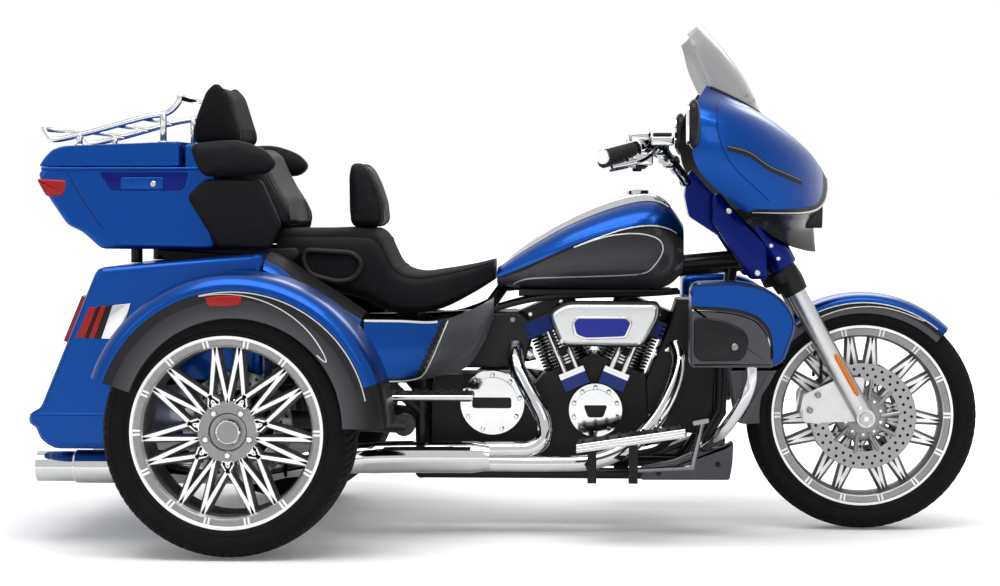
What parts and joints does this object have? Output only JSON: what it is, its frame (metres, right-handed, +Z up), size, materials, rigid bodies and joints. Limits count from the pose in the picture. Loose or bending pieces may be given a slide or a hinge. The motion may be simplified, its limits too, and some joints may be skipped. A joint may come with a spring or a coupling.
{
  "type": "motorized trike",
  "caption": "Touring motor trike with steered front fork and fairing, finned V-twin, driven rear wheels under fenders, rear trunk with drop door and hinged-lid top box.",
  "frame": {"origin": "on the ground, in the middle of the overall length and width", "axes": "+X towards the front wheel, +Y to the rider's left, +Z up"},
  "size_m": [2.5678, 1.3812, 1.397],
  "materials": {
    "blue_paint": "gloss",
    "charcoal_paint": "gloss",
    "black_paint": "gloss",
    "black_case": "satin",
    "black_fins": "satin",
    "blue_cover": "gloss",
    "chrome": "polished",
    "satin_alloy": "satin",
    "dark_steel": "satin",
    "seat_cover": "matte",
    "black_plastic": "matte",
    "board_rubber": "matte",
    "red_lens": "gloss",
    "axle_steel": "satin",
    "belt_rubber": "matte",
    "smoked_screen": "gloss",
    "lamp_glass": "gloss",
    "tyre": "matte",
    "wheel_alloy": "machined"
  },
  "bodies": {
    "chassis": {"frame": "black_paint", "seat_rails": "black_paint", "subframe": "black_paint", "engine_block": "black_case", "cylinders": "black_fins", "rocker_boxes": "blue_cover", "pushrods": "chrome", "engine_covers": "chrome", "air_cleaner": "satin_alloy", "exhaust_pipes": "chrome", "mufflers": "dark_steel", "fuel_tank": "blue_paint", "tank_console": "chrome", "seat": "seat_cover", "rider_backrest": "seat_cover", "side_covers": "blue_paint", "body_shoulders": "black_plastic", "lower_fairings": "charcoal_paint", "engine_guard": "chrome", "chin_spoiler": "charcoal_paint", "floorboards": "board_rubber", "foot_controls": "chrome", "rear_body": "blue_paint", "fender_right": "charcoal_paint", "fender_left": "charcoal_paint", "tail_lamps": "red_lens", "rear_axle": "axle_steel", "rear_calipers": "black_plastic", "drive_belt": "belt_rubber", "tour_box": "blue_paint", "tour_pads": "seat_cover"},
    "steering": {"fork_upper": "black_paint", "fork_sliders": "satin_alloy", "fork_shroud": "blue_paint", "front_fender": "blue_paint", "front_calipers": "satin_alloy", "front_axle": "axle_steel", "fairing": "blue_paint", "fairing_dash": "black_plastic", "fairing_chin": "black_paint", "windshield": "smoked_screen", "headlamp": "lamp_glass", "handlebar": "chrome", "hand_controls": "black_plastic", "mirrors": "blue_paint"},
    "front_wheel": {"front_tyre": "tyre", "front_wheel": "wheel_alloy"},
    "rear_wheel_right": {"rear_tyre_right": "tyre", "rear_wheel_right": "wheel_alloy"},
    "rear_wheel_left": {"rear_tyre_left": "tyre", "rear_wheel_left": "wheel_alloy"},
    "box_lid": {"tour_lid": "blue_paint", "luggage_rack": "chrome"},
    "trunk_door": {"trunk_door": "blue_paint"}
  },
  "joints": [
    {"name": "steer", "type": "hinge", "parent": "chassis", "child": "steering", "pos_m": [0.69496, 0, 0.771], "axis": [-0.4384, 0, 0.8988], "range_deg": [-35, 35]},
    {"name": "front_spin", "type": "hinge", "parent": "steering", "child": "front_wheel", "pos_m": [0.966, 0, 0.318], "axis": [0, 1, 0], "continuous": true},
    {"name": "rear_right_spin", "type": "hinge", "parent": "chassis", "child": "rear_wheel_right", "pos_m": [-0.704, -0.5525, 0.325], "axis": [0, 1, 0], "continuous": true},
    {"name": "rear_left_spin", "type": "hinge", "parent": "chassis", "child": "rear_wheel_left", "pos_m": [-0.704, 0.5525, 0.325], "axis": [0, 1, 0], "continuous": true},
    {"name": "lid_hinge", "type": "hinge", "parent": "chassis", "child": "box_lid", "pos_m": [-1, 0.306, 0.997], "axis": [-1, 0, 0], "range_deg": [0, 80]},
    {"name": "door_hinge", "type": "hinge", "parent": "chassis", "child": "trunk_door", "pos_m": [-1.2406, 0, 0.3839], "axis": [0, -1, 0], "range_deg": [0, 100]}
  ]
}
